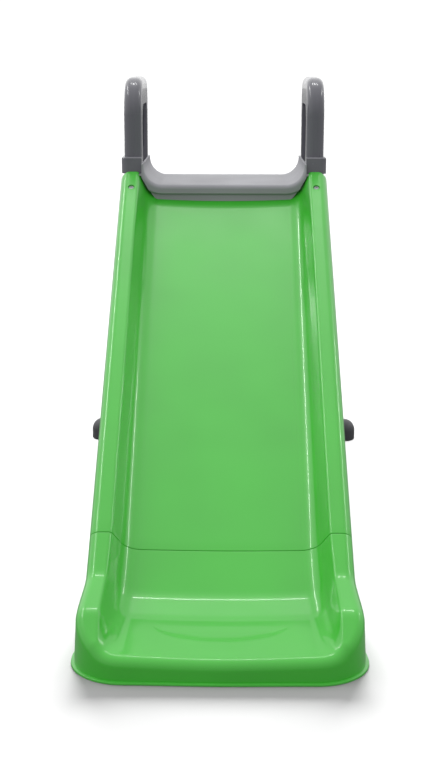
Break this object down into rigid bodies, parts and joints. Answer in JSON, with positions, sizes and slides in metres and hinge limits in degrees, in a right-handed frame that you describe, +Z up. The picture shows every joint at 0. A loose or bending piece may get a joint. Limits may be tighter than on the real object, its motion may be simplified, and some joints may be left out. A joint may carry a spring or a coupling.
{
  "type": "toddler slide",
  "caption": "Straight free-standing toddler slide with a railed plastic chute, a low run-out, a small deck with grab handles and a ladder behind.",
  "frame": {"origin": "on the floor at the middle of the slide's footprint", "axes": "+Z up, +Y from the run-out towards the ladder, +X across, to the right of someone who looks at the slide from the run-out"},
  "size_m": [0.574, 1.237, 0.778],
  "materials": {
    "green_plastic": "gloss",
    "light_grey_plastic": "satin",
    "dark_grey_plastic": "satin",
    "foot_plastic": "matte",
    "grey_painted_tube": "satin powder coat",
    "zinc_steel": "zinc plated"
  },
  "bodies": {
    "root": {"chute_upper": "green_plastic", "chute_lower": "green_plastic", "platform": "light_grey_plastic", "step_lower": "light_grey_plastic", "step_middle": "light_grey_plastic", "step_upper": "light_grey_plastic", "left_handle": "dark_grey_plastic", "right_handle": "dark_grey_plastic", "left_handle_collar": "dark_grey_plastic", "right_handle_collar": "dark_grey_plastic", "left_ladder_stringer": "dark_grey_plastic", "right_ladder_stringer": "dark_grey_plastic", "left_foot": "foot_plastic", "right_foot": "foot_plastic", "left_brace_tube": "grey_painted_tube", "right_brace_tube": "grey_painted_tube", "rail_screws": "zinc_steel", "seam_screws": "zinc_steel", "nose_screws": "zinc_steel", "handle_screws": "zinc_steel", "stringer_bolts": "zinc_steel", "stringer_nuts": "zinc_steel", "step_screws": "zinc_steel", "brace_screws": "zinc_steel", "foot_screws": "zinc_steel"}
  },
  "joints": []
}
